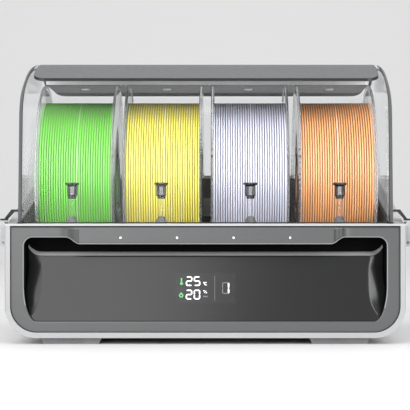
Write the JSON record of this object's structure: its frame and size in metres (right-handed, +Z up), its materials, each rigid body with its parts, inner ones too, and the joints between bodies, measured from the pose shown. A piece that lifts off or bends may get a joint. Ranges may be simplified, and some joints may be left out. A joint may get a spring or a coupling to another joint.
{
  "type": "filament dryer box",
  "caption": "Sealed dry box for filament spools, with a clear hinged lid, driven rollers, feeders and a front display.",
  "frame": {"origin": "on the surface that the feet stand on, under the middle of the whole object's box", "axes": "+Z up, the front with its display faces -Y, +X is to the right when the front is seen"},
  "size_m": [0.394, 0.314, 0.276],
  "materials": {
    "casing_light": "fine moulded texture, light grey",
    "dark_plastic": "moulded, dark grey",
    "fascia_grey": "satin moulded, mid grey",
    "recess_dark": "satin, dark grey",
    "rim_light": "satin, light grey",
    "tub_dark": "moulded, dark grey",
    "foot_rubber": "moulded rubber",
    "display_black": "polished black window",
    "board_green": "printed circuit board",
    "light_white": "frosted light pipe",
    "pale_plastic": "moulded",
    "bright_steel": "zinc plated",
    "black_plastic": "moulded, black",
    "collar_grey": "moulded",
    "tube_white": "smooth fluoropolymer tube",
    "latch_grey": "satin moulded",
    "lid_clear": "clear moulded polycarbonate",
    "cap_grey": "satin moulded, mid grey",
    "liner_grey": "satin moulded, light grey",
    "seal_rubber": "extruded silicone",
    "roller_rubber": "moulded rubber rings",
    "gear_brass": "machined",
    "spool_clear": "clear moulded polystyrene",
    "filament_green": "wound filament",
    "filament_yellow": "wound filament",
    "filament_white": "wound filament",
    "filament_orange": "wound filament"
  },
  "bodies": {
    "casing": {"outer_shell": "casing_light", "bottom_cover": "dark_plastic", "front_panel": "fascia_grey", "recess_panel": "recess_dark", "rim_trim": "rim_light", "inner_tub": "tub_dark", "feet": "foot_rubber", "display_window": "display_black", "display_module": "board_green", "indicator_lights": "light_white", "control_board": "board_green", "humidity_sensor": "pale_plastic", "desiccant_boxes": "pale_plastic", "roller_brackets": "dark_plastic", "drive_motors": "bright_steel", "feeder_housings": "dark_plastic", "guide_funnels": "black_plastic", "inlet_collars": "collar_grey", "filament_tubes": "tube_white", "filament_hub": "dark_plastic", "outlet_port": "black_plastic", "signal_sockets": "black_plastic", "casing_screws": "bright_steel", "hinge_brackets": "dark_plastic", "hinge_pins": "bright_steel", "latch_brackets": "latch_grey", "latch_pins": "bright_steel"},
    "lid": {"lid_shell": "lid_clear", "lid_cap": "cap_grey", "lid_liner": "liner_grey", "lid_lamps": "light_white", "lid_seal": "seal_rubber", "lid_knuckles": "latch_grey", "lid_lugs": "dark_plastic"},
    "latch_left": {"latch_left": "latch_grey"},
    "latch_right": {"latch_right": "latch_grey"},
    "spool_1": {"spool_1": "spool_clear", "filament_1": "filament_green"},
    "drive_roller_1": {"drive_roller_1": "roller_rubber"},
    "idler_roller_1": {"idler_roller_1": "roller_rubber"},
    "feed_gear_1": {"feed_gear_1": "gear_brass"},
    "pinch_gear_1": {"pinch_gear_1": "gear_brass"},
    "spool_2": {"spool_2": "spool_clear", "filament_2": "filament_yellow"},
    "drive_roller_2": {"drive_roller_2": "roller_rubber"},
    "idler_roller_2": {"idler_roller_2": "roller_rubber"},
    "feed_gear_2": {"feed_gear_2": "gear_brass"},
    "pinch_gear_2": {"pinch_gear_2": "gear_brass"},
    "spool_3": {"spool_3": "spool_clear", "filament_3": "filament_white"},
    "drive_roller_3": {"drive_roller_3": "roller_rubber"},
    "idler_roller_3": {"idler_roller_3": "roller_rubber"},
    "feed_gear_3": {"feed_gear_3": "gear_brass"},
    "pinch_gear_3": {"pinch_gear_3": "gear_brass"},
    "spool_4": {"spool_4": "spool_clear", "filament_4": "filament_orange"},
    "drive_roller_4": {"drive_roller_4": "roller_rubber"},
    "idler_roller_4": {"idler_roller_4": "roller_rubber"},
    "feed_gear_4": {"feed_gear_4": "gear_brass"},
    "pinch_gear_4": {"pinch_gear_4": "gear_brass"}
  },
  "joints": [
    {"name": "lid_hinge", "type": "hinge", "parent": "casing", "child": "lid", "pos_m": [0, 0.1513, 0.17], "axis": [-1, 0, 0], "range_deg": [0, 95]},
    {"name": "latch_left_hinge", "type": "hinge", "parent": "casing", "child": "latch_left", "pos_m": [-0.1926, -0.115, 0.095], "axis": [0, -1, 0], "range_deg": [0, 75]},
    {"name": "latch_right_hinge", "type": "hinge", "parent": "casing", "child": "latch_right", "pos_m": [0.1926, -0.115, 0.095], "axis": [0, 1, 0], "range_deg": [0, 75]},
    {"name": "spool_1_spin", "type": "hinge", "parent": "casing", "child": "spool_1", "pos_m": [-0.129, 0, 0.157], "axis": [1, 0, 0], "continuous": true},
    {"name": "drive_roller_1_spin", "type": "hinge", "parent": "casing", "child": "drive_roller_1", "pos_m": [-0.129, -0.06068, 0.07033], "axis": [1, 0, 0], "continuous": true},
    {"name": "idler_roller_1_spin", "type": "hinge", "parent": "casing", "child": "idler_roller_1", "pos_m": [-0.129, 0.06068, 0.07033], "axis": [1, 0, 0], "continuous": true},
    {"name": "feed_gear_1_spin", "type": "hinge", "parent": "casing", "child": "feed_gear_1", "pos_m": [-0.129, -0.1055, 0.09], "axis": [1, 0, 0], "continuous": true},
    {"name": "pinch_gear_1_spin", "type": "hinge", "parent": "casing", "child": "pinch_gear_1", "pos_m": [-0.129, -0.1165, 0.09], "axis": [1, 0, 0], "continuous": true},
    {"name": "spool_2_spin", "type": "hinge", "parent": "casing", "child": "spool_2", "pos_m": [-0.043, 0, 0.157], "axis": [1, 0, 0], "continuous": true},
    {"name": "drive_roller_2_spin", "type": "hinge", "parent": "casing", "child": "drive_roller_2", "pos_m": [-0.043, -0.06068, 0.07033], "axis": [1, 0, 0], "continuous": true},
    {"name": "idler_roller_2_spin", "type": "hinge", "parent": "casing", "child": "idler_roller_2", "pos_m": [-0.043, 0.06068, 0.07033], "axis": [1, 0, 0], "continuous": true},
    {"name": "feed_gear_2_spin", "type": "hinge", "parent": "casing", "child": "feed_gear_2", "pos_m": [-0.043, -0.1055, 0.09], "axis": [1, 0, 0], "continuous": true},
    {"name": "pinch_gear_2_spin", "type": "hinge", "parent": "casing", "child": "pinch_gear_2", "pos_m": [-0.043, -0.1165, 0.09], "axis": [1, 0, 0], "continuous": true},
    {"name": "spool_3_spin", "type": "hinge", "parent": "casing", "child": "spool_3", "pos_m": [0.043, 0, 0.157], "axis": [1, 0, 0], "continuous": true},
    {"name": "drive_roller_3_spin", "type": "hinge", "parent": "casing", "child": "drive_roller_3", "pos_m": [0.043, -0.06068, 0.07033], "axis": [1, 0, 0], "continuous": true},
    {"name": "idler_roller_3_spin", "type": "hinge", "parent": "casing", "child": "idler_roller_3", "pos_m": [0.043, 0.06068, 0.07033], "axis": [1, 0, 0], "continuous": true},
    {"name": "feed_gear_3_spin", "type": "hinge", "parent": "casing", "child": "feed_gear_3", "pos_m": [0.043, -0.1055, 0.09], "axis": [1, 0, 0], "continuous": true},
    {"name": "pinch_gear_3_spin", "type": "hinge", "parent": "casing", "child": "pinch_gear_3", "pos_m": [0.043, -0.1165, 0.09], "axis": [1, 0, 0], "continuous": true},
    {"name": "spool_4_spin", "type": "hinge", "parent": "casing", "child": "spool_4", "pos_m": [0.129, 0, 0.157], "axis": [1, 0, 0], "continuous": true},
    {"name": "drive_roller_4_spin", "type": "hinge", "parent": "casing", "child": "drive_roller_4", "pos_m": [0.129, -0.06068, 0.07033], "axis": [1, 0, 0], "continuous": true},
    {"name": "idler_roller_4_spin", "type": "hinge", "parent": "casing", "child": "idler_roller_4", "pos_m": [0.129, 0.06068, 0.07033], "axis": [1, 0, 0], "continuous": true},
    {"name": "feed_gear_4_spin", "type": "hinge", "parent": "casing", "child": "feed_gear_4", "pos_m": [0.129, -0.1055, 0.09], "axis": [1, 0, 0], "continuous": true},
    {"name": "pinch_gear_4_spin", "type": "hinge", "parent": "casing", "child": "pinch_gear_4", "pos_m": [0.129, -0.1165, 0.09], "axis": [1, 0, 0], "continuous": true}
  ],
  "couplings": [
    {"joint": "drive_roller_1_spin", "follows": "spool_1_spin", "ratio": -12.188},
    {"joint": "idler_roller_1_spin", "follows": "spool_1_spin", "ratio": -12.188},
    {"joint": "feed_gear_1_spin", "follows": "spool_1_spin", "ratio": 14.546},
    {"joint": "pinch_gear_1_spin", "follows": "spool_1_spin", "ratio": -14.546},
    {"joint": "drive_roller_2_spin", "follows": "spool_2_spin", "ratio": -12.188},
    {"joint": "idler_roller_2_spin", "follows": "spool_2_spin", "ratio": -12.188},
    {"joint": "feed_gear_2_spin", "follows": "spool_2_spin", "ratio": 14.546},
    {"joint": "pinch_gear_2_spin", "follows": "spool_2_spin", "ratio": -14.546},
    {"joint": "drive_roller_3_spin", "follows": "spool_3_spin", "ratio": -12.188},
    {"joint": "idler_roller_3_spin", "follows": "spool_3_spin", "ratio": -12.188},
    {"joint": "feed_gear_3_spin", "follows": "spool_3_spin", "ratio": 14.546},
    {"joint": "pinch_gear_3_spin", "follows": "spool_3_spin", "ratio": -14.546},
    {"joint": "drive_roller_4_spin", "follows": "spool_4_spin", "ratio": -12.188},
    {"joint": "idler_roller_4_spin", "follows": "spool_4_spin", "ratio": -12.188},
    {"joint": "feed_gear_4_spin", "follows": "spool_4_spin", "ratio": 14.546},
    {"joint": "pinch_gear_4_spin", "follows": "spool_4_spin", "ratio": -14.546}
  ]
}
